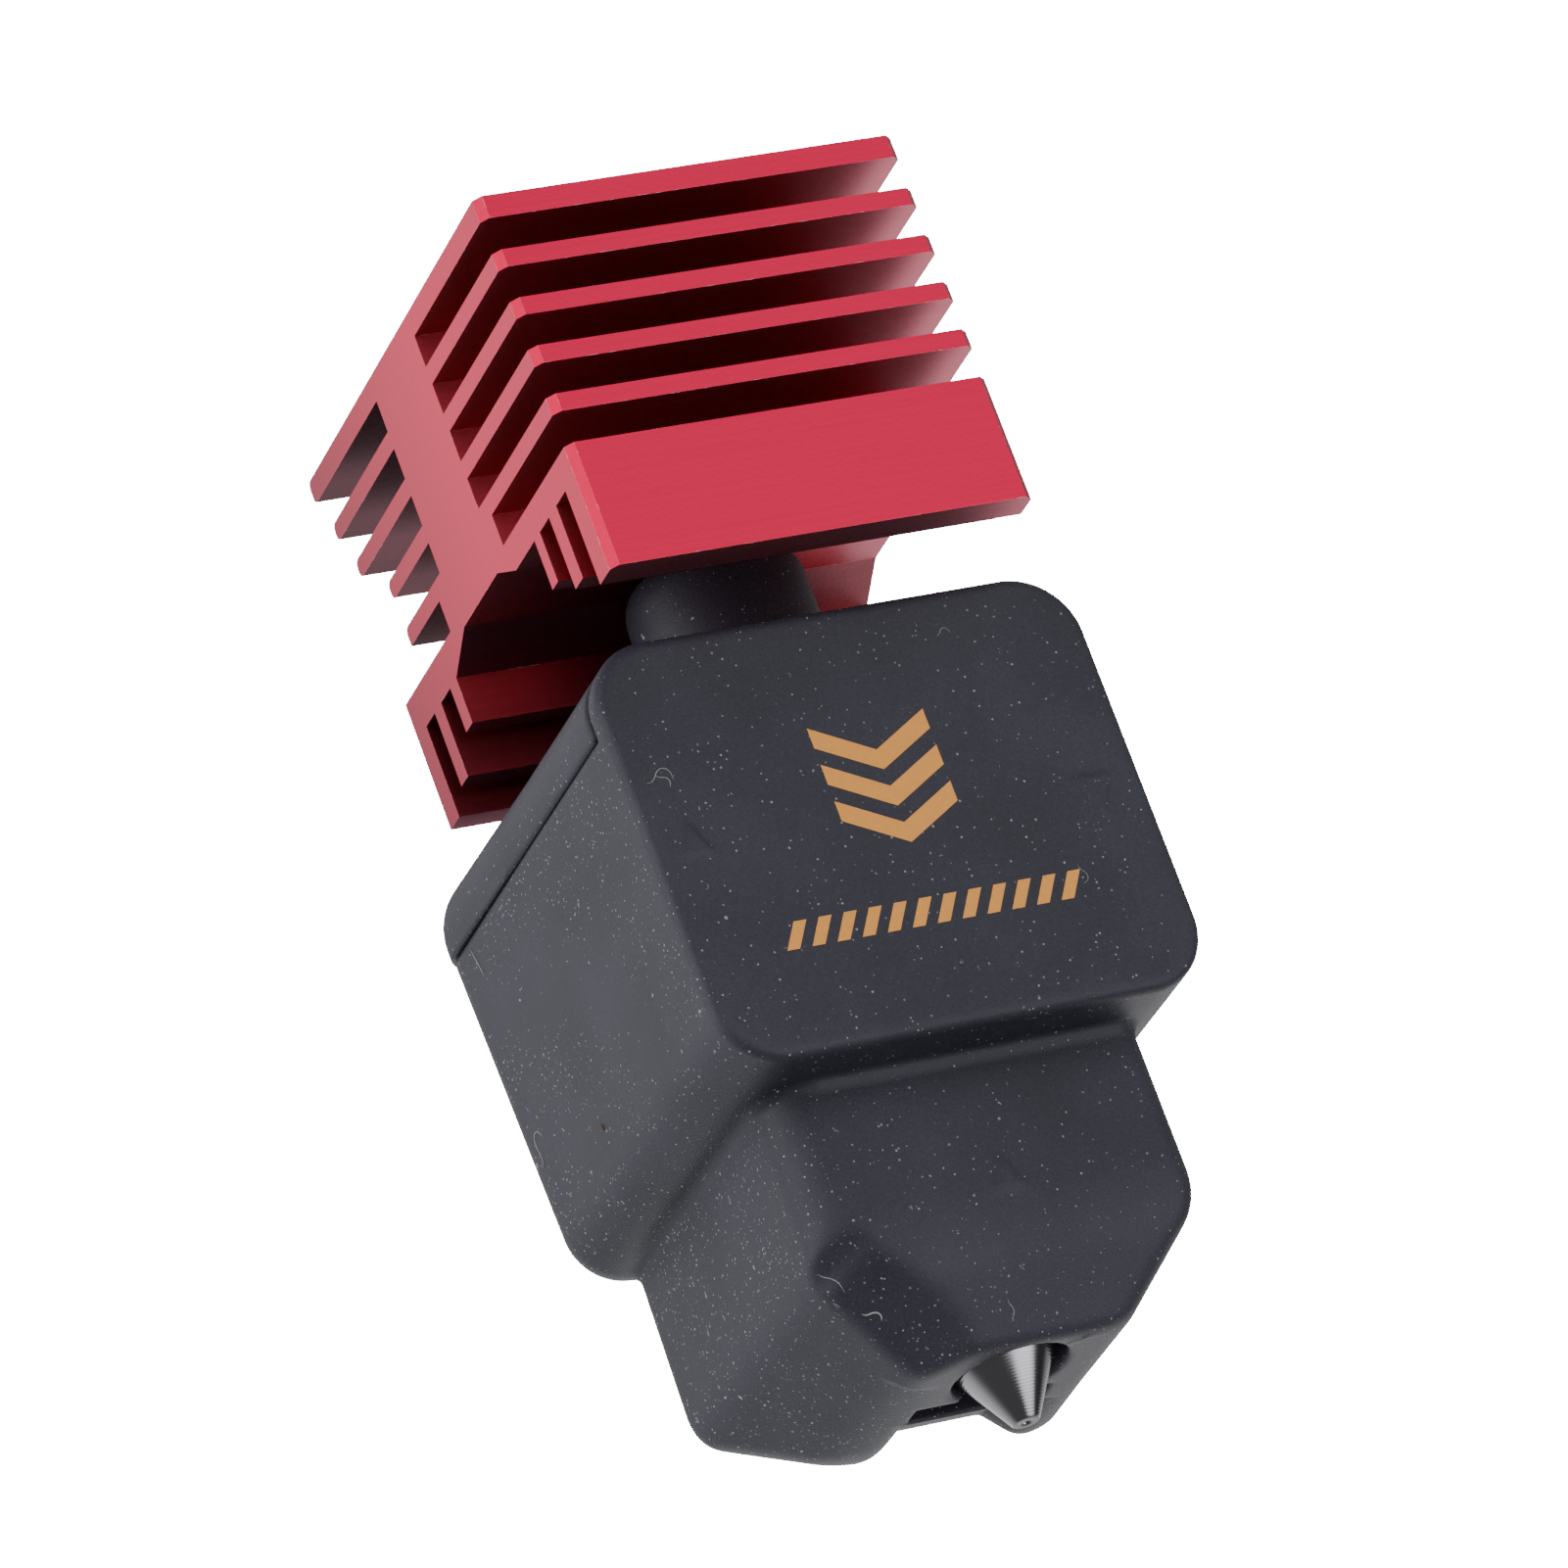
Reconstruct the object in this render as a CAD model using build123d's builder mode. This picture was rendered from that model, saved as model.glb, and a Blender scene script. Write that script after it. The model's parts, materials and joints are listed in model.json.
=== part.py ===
"""Hotend of a filament 3-D printer: finned heatsink, heatbreak, heater block in a silicone sock, nozzle.

Millimetres. +Z up. The origin is on the filament axis, at the top face of the heatsink, so the
whole hotend hangs below z = 0. The front of the hotend faces -Y and the fins run along X.
"""

from build123d import *
import os

# --- filament path -----------------------------------------------------------
liner_radius = 2.0
liner_bore = 1.0
liner_length = 5.0
heatbreak_bore = 0.95
sleeve_radius = 2.25          # smooth shank that the heatsink holds
funnel_height = 0.7           # lead-in at the top of the heatbreak
funnel_flare = 0.4
throat_radius = 1.5
thread_radius = 3.0           # M6
running_gap = 0.05            # radial clearance of a turning or sliding fit
sleeve_bottom = -13.6

# --- heatsink extrusion ------------------------------------------------------
sink_left = -10.6
sink_right = 9.4
sink_front = -12.8
sink_rear = 10.6
top_fin_thickness = 1.1
fin_thickness = 0.85
fin_pitch = 2.36
first_pitch = 2.65
thin_fins = 4
rear_fin_reach = (12.2, 11.3, 10.4, 8.1, 8.0)
web_half = 2.85               # half thickness of the upright web
foot_half = 3.85              # half thickness of the web's wide foot
foot_top = -10.55
shelf_top = -12.1
front_shelf_bottom = -13.5
rear_shelf_bottom = -13.85
recess_top = -12.65           # roof of the hollow over the collar
recess_inner = 2.4            # half width of that roof
recess_outer = 4.2            # where its sloping front meets the shelf
plate_thickness = 1.65
plate_bottom = -18.05
flange_thickness = 1.25
flange_bottom = -18.35
end_chamfer = 0.35
front_ribs = ((-7.55, -6.8, -15.9), (-9.85, -8.85, -17.0))
rear_ribs = ((7.15, 8.1, -17.5), (4.9, 5.8, -16.05))
fin_round = 0.35

mount_spacing = 13.0          # two M3 tapped holes in the top face
mount_hole_radius = 1.25
mount_hole_depth = 5.8
grub_radius = 1.25            # M2.5 grub screws that hold the heatbreak
grub_length = 4.0
grub_heights = (-7.9, -10.9)
grub_gap = 0.02               # thread clearance of the small screws
socket_flat = 1.3             # hexagon socket, across flats

# --- silicone sock -----------------------------------------------------------
sock_half_x = 11.55
sock_front = -8.95
sock_rear = 14.4
sock_top = -19.8
sock_step = -39.7
corner_radius = 3.0
skin = 1.42                   # silicone wall
seam = -23.5                  # where cap and body meet at the sides and rear
seam_gap = 0.12
collar_radius = 4.05
collar_bore = 2.4
collar_top = -13.05
collar_round = 1.4
nose_half_x = 8.8
nose_front = -5.85
nose_rear = 12.9
nose_edge = -47.9             # where the sloping underside starts
nose_flat = -52.0
flat_half_x = 4.7             # the level underside between the slopes
flat_front = -3.2
flat_rear = 8.2
nose_round = 1.4              # upright corners of the nose
nose_mouth_radius = 2.6
mouth_x = 0.15                # the mouth sits a little right of the nozzle
pocket_radius = 4.4           # room for the nozzle's hexagon
notch_half_x = 3.0
notch_front = 4.0
notch_roof = -50.1
slit_front = 2.5
slit_rear = 3.5
slit_depth = 3.2

# --- heater block ------------------------------------------------------------
fit_gap = 0.1                 # slack between the block and the sock
block_top = sock_top - skin
block_step = sock_step + skin
block_bottom = nose_edge + 2.7
block_chamfer = 0.8
pocket_bottom = -48.2
joint_height = -31.9          # where heatbreak and nozzle meet inside the block
heater_radius = 3.0
heater_length = 20.0
heater_x = 6.5
sensor_radius = 1.5
sensor_length = 15.0
sensor_x = -5.2
cartridge_height = -31.0
clamp_screw_y = 5.0
clamp_screw_length = 5.0
clamp_screw_radius = 1.5      # M3

# --- nozzle ------------------------------------------------------------------
hexagon_flat = 7.0
hexagon_height = 2.7
shoulder_radius = 2.3
cone_top = -51.45
tip_height = -54.3
tip_radius = 0.62
orifice_radius = 0.2
land_length = 0.8
melt_bore = 1.05


def block_y(inset):
    """Front and rear of a box that sits inside the sock's upper half."""
    return sock_front + skin + inset, sock_rear - skin - inset


def nose_y(inset):
    """Front and rear of a box that sits inside the sock's lower half."""
    return nose_front + skin + inset, nose_rear - skin - inset


def add_box(x0, x1, y0, y1, z0, z1, mode=Mode.ADD):
    """A box between two corners, in the part that is being built."""
    with Locations(((x0 + x1) / 2, (y0 + y1) / 2, (z0 + z1) / 2)):
        Box(x1 - x0, y1 - y0, z1 - z0, mode=mode)


def add_rod(radius, z0, z1, x=0.0, y=0.0, mode=Mode.ADD):
    """An upright cylinder between two heights."""
    with Locations((x, y, (z0 + z1) / 2)):
        Cylinder(radius, z1 - z0, mode=mode)


def add_rod_along_y(radius, y0, y1, x, z, mode=Mode.ADD):
    """A cylinder that lies along Y."""
    with Locations(Location((x, (y0 + y1) / 2, z), (90, 0, 0))):
        Cylinder(radius, y1 - y0, mode=mode)


def section_box(y0, y1, z0, z1):
    """A rectangle of the heatsink's section, in the YZ plane."""
    with Locations(((y0 + y1) / 2, (z0 + z1) / 2)):
        Rectangle(abs(y1 - y0), abs(z1 - z0))


def rounded_block(front, rear, z_low, z_high, half_x):
    """The sock's upper half: a round-cornered plate in XZ, thick along Y."""
    with BuildSketch(Plane.XZ.offset(-rear)) as plate:
        with Locations((0, (z_low + z_high) / 2)):
            RectangleRounded(2 * half_x, z_high - z_low, corner_radius)
    extrude(plate.sketch, amount=rear - front)


def nose_outline(height, half_x, y0, y1):
    """A level outline of the nose, with its round corners."""
    with BuildSketch(Plane.XY.offset(height)) as outline:
        with Locations((0, (y0 + y1) / 2)):
            RectangleRounded(2 * half_x, y1 - y0, nose_round)
    return outline.sketch


# --- heatsink ----------------------------------------------------------------
fin_tops = [0.0] + [-first_pitch - fin_pitch * i for i in range(thin_fins)]
fin_bottoms = [-top_fin_thickness] + [z - fin_thickness for z in fin_tops[1:]]

with BuildPart() as heatsink:
    with BuildSketch(Plane.YZ.offset(sink_left)) as section:
        section_box(-web_half, web_half, recess_top, 0)
        section_box(-foot_half, foot_half, shelf_top, foot_top)
        for top, bottom, reach in zip(fin_tops, fin_bottoms, rear_fin_reach):
            section_box(sink_front, 0, bottom, top)
            section_box(0, reach, bottom, top)
        section_box(sink_front, 0, front_shelf_bottom, shelf_top)
        section_box(sink_front, sink_front + plate_thickness, plate_bottom, shelf_top)
        for near, far, bottom in front_ribs:
            section_box(near, far, bottom, shelf_top)
        section_box(0, sink_rear, rear_shelf_bottom, shelf_top)
        section_box(sink_rear - flange_thickness, sink_rear, flange_bottom, shelf_top)
        for near, far, bottom in rear_ribs:
            section_box(near, far, bottom, shelf_top)
        # The hollow over the collar has sloping sides.
        with BuildLine():
            Polyline(
                (-recess_outer, plate_bottom),
                (-recess_outer, front_shelf_bottom),
                (-recess_inner, recess_top),
                (recess_inner, recess_top),
                (rear_ribs[-1][0], rear_shelf_bottom),
                (rear_ribs[-1][0], plate_bottom),
                close=True,
            )
        make_face(mode=Mode.SUBTRACT)
        rear_tips = [
            corner
            for corner in section.vertices()
            if corner.X > rear_fin_reach[-1] - 0.1 and corner.Y > foot_top
        ]
        fillet(rear_tips, fin_round)
    extrude(amount=sink_right - sink_left)
    # The four upright corners of the extrusion's cut ends are broken.
    for x, y in ((sink_left, sink_front), (sink_right, sink_front)):
        with BuildSketch(Plane.XY.offset(plate_bottom - 1)):
            with Locations(Location((x, y, 0), (0, 0, 45))):
                Rectangle(end_chamfer * 2**0.5, end_chamfer * 2**0.5)
        extrude(amount=1 - plate_bottom + 1, mode=Mode.SUBTRACT)
    add_rod(liner_radius + grub_gap, -liner_length, 1, mode=Mode.SUBTRACT)
    add_rod(sleeve_radius + running_gap, recess_top - 2, -liner_length, mode=Mode.SUBTRACT)
    for x in (-mount_spacing / 2, mount_spacing / 2):
        add_rod(mount_hole_radius, -mount_hole_depth, 1, x=x, mode=Mode.SUBTRACT)
    for z in grub_heights:
        with Locations(Location(((sink_right + 1) / 2, 0, z), (0, 90, 0))):
            Cylinder(grub_radius + grub_gap, sink_right + 1, mode=Mode.SUBTRACT)

with BuildPart() as heatbreak_grub_screws:
    for z in grub_heights:
        tip = sleeve_radius + running_gap
        with Locations(Location((tip + grub_length / 2, 0, z), (0, 90, 0))):
            Cylinder(grub_radius, grub_length)
        with BuildSketch(Plane.YZ.offset(tip + grub_length - 1.2)):
            with Locations((0, z)):
                RegularPolygon(socket_flat / 2, 6, major_radius=False)
        extrude(amount=2, mode=Mode.SUBTRACT)

with BuildPart() as filament_liner:
    add_rod(liner_radius, -liner_length + grub_gap, 0)
    add_rod(liner_bore, -liner_length, 0, mode=Mode.SUBTRACT)

# --- heatbreak ---------------------------------------------------------------
sleeve_top = -liner_length - 0.1

with BuildPart() as heatbreak_sleeve:
    add_rod(sleeve_radius, sleeve_bottom, sleeve_top)
    chamfer(heatbreak_sleeve.faces().sort_by(Axis.Z)[-1].edges(), 0.2)
    add_rod(throat_radius, sleeve_bottom, sleeve_top, mode=Mode.SUBTRACT)

with BuildPart() as heatbreak_tube:
    add_rod(throat_radius, joint_height, sleeve_top)
    add_rod(thread_radius - running_gap, joint_height, block_top)
    chamfer(heatbreak_tube.faces().sort_by(Axis.Z)[0].edges(), 0.4)
    add_rod(heatbreak_bore, joint_height, sleeve_top, mode=Mode.SUBTRACT)
    with Locations((0, 0, sleeve_top - funnel_height / 2)):
        Cone(heatbreak_bore, heatbreak_bore + funnel_flare, funnel_height, mode=Mode.SUBTRACT)

# --- heater block ------------------------------------------------------------
mouth_y = block_y(fit_gap)[1]  # the block's rear face, where the cartridges go in

with BuildPart() as heater_block:
    front, rear = block_y(fit_gap)
    half_x = sock_half_x - skin - fit_gap
    add_box(-half_x, half_x, front, rear, block_step, block_top)
    long_edges = heater_block.edges().filter_by(Axis.Y) + heater_block.edges().filter_by(Axis.Z)
    chamfer(long_edges, block_chamfer)
    front, rear = nose_y(fit_gap)
    half_x = nose_half_x - skin - fit_gap
    add_box(-half_x, half_x, front, rear, block_bottom, block_step)
    add_rod(thread_radius, block_bottom, block_top, mode=Mode.SUBTRACT)
    bore_radius = heater_radius + grub_gap
    add_rod_along_y(bore_radius, mouth_y - heater_length, mouth_y, heater_x, cartridge_height, Mode.SUBTRACT)
    bore_radius = sensor_radius + grub_gap
    add_rod_along_y(bore_radius, mouth_y - sensor_length, mouth_y, sensor_x, cartridge_height, Mode.SUBTRACT)
    for x in (heater_x, sensor_x):
        add_rod(clamp_screw_radius + grub_gap, cartridge_height, block_top, x, clamp_screw_y, Mode.SUBTRACT)

# --- heater cartridge, a steel sheath round a wound ceramic core -----------------
sheath_wall = 0.5
seal_length = 2.0
winding_thickness = 0.5
core_radius = heater_radius - sheath_wall - winding_thickness - 0.1
heater_front = mouth_y - heater_length + 0.1

with BuildPart() as heater_sheath:
    add_rod_along_y(heater_radius, heater_front, mouth_y, heater_x, cartridge_height)
    chamfer(heater_sheath.faces().sort_by(Axis.Y)[0].edges(), 0.3)
    inner_radius = heater_radius - sheath_wall
    add_rod_along_y(inner_radius, heater_front + 1, mouth_y, heater_x, cartridge_height, Mode.SUBTRACT)

with BuildPart() as heater_core:
    core_rear = mouth_y - seal_length - 0.1
    add_rod_along_y(core_radius, heater_front + 1.1, core_rear, heater_x, cartridge_height)

with BuildPart() as heater_winding:
    turns = 8
    pitch = (heater_length - seal_length - 3) / turns
    for turn in range(turns):
        y = heater_front + 1.8 + pitch * turn
        add_rod_along_y(core_radius + winding_thickness, y, y + pitch / 2, heater_x, cartridge_height)
        add_rod_along_y(core_radius + 0.02, y, y + pitch / 2, heater_x, cartridge_height, Mode.SUBTRACT)

with BuildPart() as heater_end_seal:
    add_rod_along_y(inner_radius, mouth_y - seal_length, mouth_y, heater_x, cartridge_height)

# --- temperature sensor, a glass bead potted in a steel sleeve --------------------
sensor_wall = 0.3
sensor_front = mouth_y - sensor_length + 0.1
bead_radius = 0.8

with BuildPart() as sensor_sleeve:
    add_rod_along_y(sensor_radius, sensor_front, mouth_y, sensor_x, cartridge_height)
    chamfer(sensor_sleeve.faces().sort_by(Axis.Y)[0].edges(), 0.2)
    inner_radius = sensor_radius - sensor_wall
    add_rod_along_y(inner_radius, sensor_front + 0.6, mouth_y, sensor_x, cartridge_height, Mode.SUBTRACT)

with BuildPart() as sensor_bead:
    with Locations((sensor_x, sensor_front + 0.7 + bead_radius, cartridge_height)):
        Sphere(bead_radius)

with BuildPart() as sensor_potting:
    potting_front = sensor_front + 0.8 + 2 * bead_radius
    add_rod_along_y(inner_radius, potting_front, mouth_y, sensor_x, cartridge_height)


def clamp_screw(x, clamped_radius):
    """A socket grub screw that comes down from the block's top onto a cartridge."""
    tip = cartridge_height + clamped_radius + grub_gap
    head = tip + clamp_screw_length
    with BuildPart() as screw:
        add_rod(clamp_screw_radius, tip, head, x, clamp_screw_y)
        with BuildSketch(Plane.XY.offset(head - 1.5)):
            with Locations((x, clamp_screw_y)):
                RegularPolygon(socket_flat / 2, 6, major_radius=False)
        extrude(amount=2, mode=Mode.SUBTRACT)
    return screw


heater_clamp_screw = clamp_screw(heater_x, heater_radius)
sensor_clamp_screw = clamp_screw(sensor_x, sensor_radius)

# --- nozzle ------------------------------------------------------------------
with BuildPart() as nozzle:
    with BuildSketch(Plane.XZ) as half:
        with BuildLine():
            Polyline(
                (0, joint_height - 0.1),
                (thread_radius - running_gap - 0.4, joint_height - 0.1),
                (thread_radius - running_gap, joint_height - 0.5),
                (thread_radius - running_gap, block_bottom),
                (shoulder_radius, block_bottom - hexagon_height),
                (shoulder_radius, cone_top),
                (tip_radius, tip_height),
                (0, tip_height),
                close=True,
            )
        make_face()
    revolve(axis=Axis.Z)
    with BuildSketch(Plane.XY.offset(block_bottom - hexagon_height)):
        RegularPolygon(hexagon_flat / 2, 6, major_radius=False)
    extrude(amount=hexagon_height - fit_gap)
    add_rod(orifice_radius, tip_height, tip_height + land_length, mode=Mode.SUBTRACT)
    with BuildSketch(Plane.XZ):
        with BuildLine():
            Polyline(
                (0, tip_height + land_length),
                (orifice_radius, tip_height + land_length),
                (melt_bore, tip_height + land_length + 1.4),
                (melt_bore, joint_height),
                (0, joint_height),
                close=True,
            )
        make_face()
    revolve(axis=Axis.Z, mode=Mode.SUBTRACT)

# --- silicone sock -----------------------------------------------------------
with BuildPart() as sock_body:
    rounded_block(sock_front, sock_rear, sock_step, sock_top, sock_half_x)
    fillet(sock_body.faces().sort_by(Axis.Y)[-1].edges(), 2.0)
    # The cap takes the top of the block, behind the front wall.
    clear_x = sock_half_x + 1
    add_box(-clear_x, clear_x, sock_front + skin, sock_rear + 1, seam - seam_gap / 2, 0, Mode.SUBTRACT)
    upright = nose_outline(nose_edge, nose_half_x, nose_front, nose_rear)
    extrude(upright, amount=sock_step - nose_edge + corner_radius)
    underside = nose_outline(nose_flat, flat_half_x, flat_front, flat_rear)
    loft([upright.face(), underside.face()])
    # Inside: the room for the block, the nozzle's hexagon and the nozzle's tip.
    front, rear = block_y(0)
    half_x = sock_half_x - skin
    add_box(-half_x, half_x, front, rear, block_step - fit_gap, 1, Mode.SUBTRACT)
    front, rear = nose_y(0)
    half_x = nose_half_x - skin
    add_box(-half_x, half_x, front, rear, block_bottom - fit_gap, block_step, Mode.SUBTRACT)
    add_rod(pocket_radius, pocket_bottom, block_bottom, mode=Mode.SUBTRACT)
    add_rod(nose_mouth_radius, nose_flat - 1, pocket_bottom, x=mouth_x, mode=Mode.SUBTRACT)
    # Underneath, at the rear: the notch between the two feet, and the slit behind the nozzle.
    below = nose_flat - 1
    add_box(-notch_half_x, notch_half_x, notch_front, nose_rear + 1, below, notch_roof, Mode.SUBTRACT)
    slit_roof = nose_flat + slit_depth
    add_box(-notch_half_x, notch_half_x, slit_front, slit_rear, below, slit_roof, Mode.SUBTRACT)
    # The cartridges' wires leave through two slots that are open to the cap.
    inside = sock_rear - 2 * skin
    outside = sock_rear + 1
    for x, radius in ((heater_x, heater_radius), (sensor_x, sensor_radius)):
        add_box(x - radius, x + radius, inside, outside, cartridge_height, seam, Mode.SUBTRACT)
        add_rod_along_y(radius, inside, outside, x, cartridge_height, Mode.SUBTRACT)

with BuildPart() as sock_cap:
    rounded_block(sock_front, sock_rear, sock_step, sock_top, sock_half_x)
    fillet(sock_cap.faces().sort_by(Axis.Y)[-1].edges(), 2.0)
    cap_front = sock_front + skin + seam_gap
    cap_bottom = seam + seam_gap / 2
    add_box(-clear_x, clear_x, sock_front - 1, sock_rear + 1, sock_step - 1, cap_bottom, Mode.SUBTRACT)
    add_box(-clear_x, clear_x, sock_front - 1, cap_front, cap_bottom, 0, Mode.SUBTRACT)
    front, rear = block_y(0)
    half_x = sock_half_x - skin
    add_box(-half_x, half_x, front, rear, sock_step, block_top + 0.02, Mode.SUBTRACT)
    add_rod(collar_radius, block_top + 0.5, collar_top)
    fillet(sock_cap.faces().sort_by(Axis.Z)[-1].edges(), collar_round)
    add_rod(collar_bore, block_top - 1, 0, mode=Mode.SUBTRACT)

# --- export ------------------------------------------------------------------
pieces = {
    "heatsink": heatsink,
    "heatbreak_grub_screws": heatbreak_grub_screws,
    "filament_liner": filament_liner,
    "heatbreak_sleeve": heatbreak_sleeve,
    "heatbreak_tube": heatbreak_tube,
    "heater_block": heater_block,
    "heater_sheath": heater_sheath,
    "heater_core": heater_core,
    "heater_winding": heater_winding,
    "heater_end_seal": heater_end_seal,
    "heater_clamp_screw": heater_clamp_screw,
    "sensor_sleeve": sensor_sleeve,
    "sensor_bead": sensor_bead,
    "sensor_potting": sensor_potting,
    "sensor_clamp_screw": sensor_clamp_screw,
    "nozzle": nozzle,
    "sock_body": sock_body,
    "sock_cap": sock_cap,
}
os.makedirs("parts", exist_ok=True)
for name, piece in pieces.items():
    piece.part.label = name
    export_step(piece.part, f"parts/{name}.step")
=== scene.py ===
import json
import math

import bmesh
import bpy
import numpy as np
from mathutils import Matrix, Vector


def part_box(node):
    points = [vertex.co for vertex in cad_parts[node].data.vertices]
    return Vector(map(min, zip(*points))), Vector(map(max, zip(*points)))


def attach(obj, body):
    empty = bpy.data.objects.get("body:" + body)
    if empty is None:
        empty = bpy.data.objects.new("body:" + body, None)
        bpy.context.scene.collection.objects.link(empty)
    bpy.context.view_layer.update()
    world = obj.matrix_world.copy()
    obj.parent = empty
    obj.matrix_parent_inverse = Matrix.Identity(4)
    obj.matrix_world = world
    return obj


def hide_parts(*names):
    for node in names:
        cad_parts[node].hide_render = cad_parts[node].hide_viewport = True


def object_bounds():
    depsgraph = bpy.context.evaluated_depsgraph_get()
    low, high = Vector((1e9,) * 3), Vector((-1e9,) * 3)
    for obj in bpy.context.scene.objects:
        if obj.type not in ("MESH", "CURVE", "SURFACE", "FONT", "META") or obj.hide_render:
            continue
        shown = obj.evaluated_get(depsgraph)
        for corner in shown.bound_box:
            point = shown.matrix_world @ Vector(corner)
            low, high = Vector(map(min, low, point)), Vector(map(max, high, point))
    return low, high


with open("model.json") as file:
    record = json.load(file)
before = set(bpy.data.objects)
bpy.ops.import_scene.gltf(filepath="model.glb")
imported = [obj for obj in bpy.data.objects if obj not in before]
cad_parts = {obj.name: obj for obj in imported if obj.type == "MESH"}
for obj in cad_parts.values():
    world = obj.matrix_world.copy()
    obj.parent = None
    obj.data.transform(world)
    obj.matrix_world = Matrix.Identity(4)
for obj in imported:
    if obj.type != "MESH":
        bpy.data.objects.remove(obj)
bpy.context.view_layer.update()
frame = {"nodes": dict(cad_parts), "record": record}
MM = 0.001

# Sizes in millimetres, in the part's own frame: the filament axis is X = Y = 0, the heatsink's top is Z = 0.
body_low, body_high = (np.array(corner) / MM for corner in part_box("sock_body"))
cap_low, cap_high = (np.array(corner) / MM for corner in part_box("sock_cap"))
nozzle_low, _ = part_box("nozzle")
HALF_X = body_high[0]
FRONT = body_low[1]
REAR = body_high[1]
TOP = body_high[2]
FLAT = body_low[2]                 # underside of the nose
STEP = TOP - 19.9                  # where the nose starts
EDGE = FLAT + 4.1                  # where its sloping sides start
NOSE_X = 8.8                       # half the nose's width
NOSE_FRONT = FRONT + 3.1
NOSE_REAR = REAR - 1.5
FLAT_X = 4.7                       # the level underside between the slopes
FLAT_FRONT = -3.2
FLAT_REAR = 8.2
BLOCK_CORNER = 3.0                 # radius of the block's corners, seen from the front
FRONT_RIM = 0.5                    # rounding of the block's front edge
REAR_RIM = 2.0                     # and of its rear edge
NOSE_CORNER = 1.2                  # radius of the nose's corners, seen from above
SOFT_CORNER = 2.4                  # the one at its front left
PINCH = 0.5                        # how far the block's sides draw in towards its bottom rear
SKIN = 1.42                        # the silicone's thickness
HOLLOW_CORNER = 1.8                # radius of the hollow's corners
BLOCK_FLOOR = EDGE + 2.6           # floor of the room for the heater block
POCKET_FLOOR = EDGE - 0.3          # floor of the room for the nozzle's hexagon
SEAM = TOP - 3.7                   # height of the seam between cap and sock
SEAM_GAP = 0.14
CAP_PROUD = 0.12                   # how far the cap stands out at the rear
COLLAR = 4.05                      # radius of the collar round the heatbreak
COLLAR_BORE = 2.4
COLLAR_TOP = cap_high[2]
POCKET = 4.4                       # radius of the room for the nozzle's hexagon
MOUTH = 2.6                        # radius of the opening for the nozzle's cone
MOUTH_X = 0.15
NOTCH_X = 3.0                      # half the width of the notch under the nose's rear
NOTCH_Y = 4.0
NOTCH_Z = FLAT + 1.9
SLIT_Y = (2.3, 3.55)               # front and rear of the slit behind the nozzle
SLIT_Z = FLAT + 3.2
WIRES = ((6.5, 3.0), (-5.2, 1.5))  # place across and half width of the two slots for wires
WIRE_Z = -31.0                     # middle of the slots' round lower ends
HEX_LOW = -47.9                    # the nozzle's hexagon
HEX_HIGH = -45.3
HEX_R = 4.0415                     # to its corners
CONE_TOP = -51.3
CONE_R = 2.3
THREAD_TOP = -32.0
THREAD_R = 2.95
BORE_R = 1.05                      # where the filament runs
ORIFICE_R = 0.2


# --- distance fields and the mesh drawn round their zero --------------------------
def soft_max(a, b, k):
    """The larger of the two, with the crease between them rounded."""
    h = np.maximum(k - np.abs(a - b), 0) / k
    return np.maximum(a, b) + h * h * k / 4


def soft_min(a, b, k):
    return -soft_max(-a, -b, k)


def plate_distance(u, v, half_u, half_v, r):
    """Distance to a rectangle with round corners."""
    qu = np.abs(u) - half_u + r
    qv = np.abs(v) - half_v + r
    return np.hypot(np.maximum(qu, 0), np.maximum(qv, 0)) + np.minimum(np.maximum(qu, qv), 0) - r


def thick(outline, w, half_w, edge):
    """Distance to an outline that has been made half_w thick each way, with rounded rims."""
    a = outline + edge
    b = np.abs(w) - half_w + edge
    return np.hypot(np.maximum(a, 0), np.maximum(b, 0)) + np.minimum(np.maximum(a, b), 0) - edge


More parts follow.
